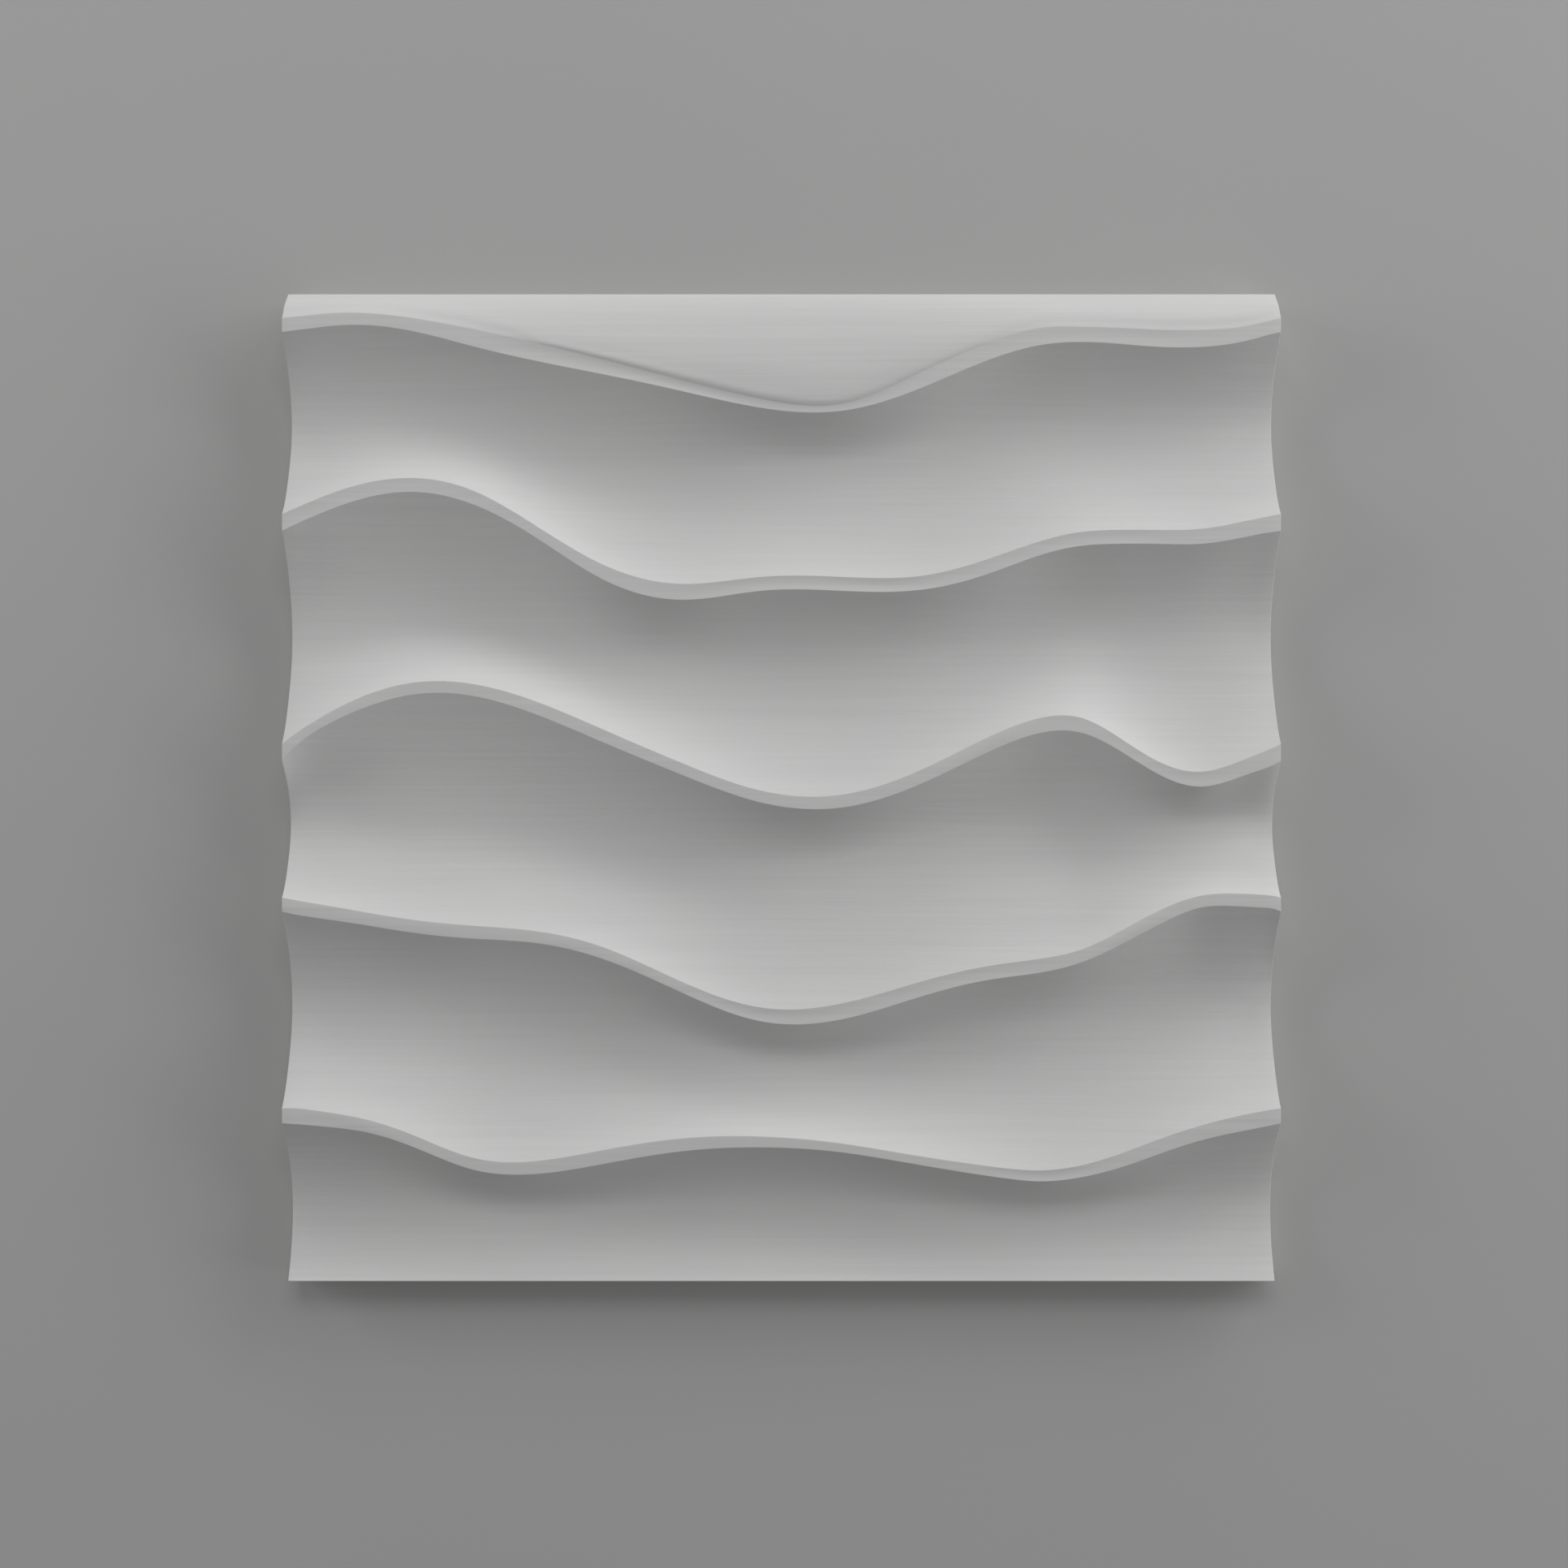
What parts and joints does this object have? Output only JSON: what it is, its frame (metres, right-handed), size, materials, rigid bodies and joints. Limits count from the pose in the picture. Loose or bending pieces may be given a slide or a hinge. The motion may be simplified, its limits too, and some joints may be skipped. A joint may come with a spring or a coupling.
{
  "type": "wall panel tile",
  "caption": "Square 500 mm wall panel tile with a flat back and a white face of wavy bands and hollows.",
  "frame": {"origin": "middle of the flat back, which lies on the floor as the tile is stored", "axes": "+X to the right along the waves, +Y up the wall as the tile hangs, +Z out of the wall, which is up as it lies"},
  "size_m": [0.5, 0.5, 0.031],
  "materials": {
    "plaster": "matte"
  },
  "bodies": {
    "root": {"wall_panel": "plaster"}
  },
  "joints": []
}
